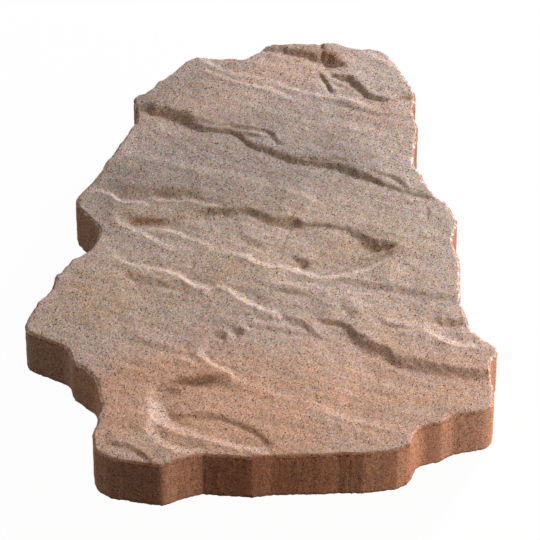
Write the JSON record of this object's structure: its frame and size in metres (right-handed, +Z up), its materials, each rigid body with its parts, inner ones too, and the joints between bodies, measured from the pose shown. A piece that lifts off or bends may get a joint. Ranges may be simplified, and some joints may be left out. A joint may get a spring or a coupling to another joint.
{
  "type": "concrete paving slab",
  "caption": "Irregular flagstone-shaped concrete paving slab with a riven, ledged top, plumb scalloped sides and a flat bedding face.",
  "frame": {"origin": "centre of the slab's bounding box, on its flat bedding face", "axes": "+X along the slab's length towards its stepped end, +Y across its width, +Z up through the riven walking face"},
  "size_m": [0.5128, 0.4166, 0.06],
  "materials": {
    "blended_concrete": "dry matt cast concrete, grey blended with tan and pinkish brown, fine dark and pale specks"
  },
  "bodies": {
    "root": {"paving_slab": "blended_concrete"}
  },
  "joints": []
}
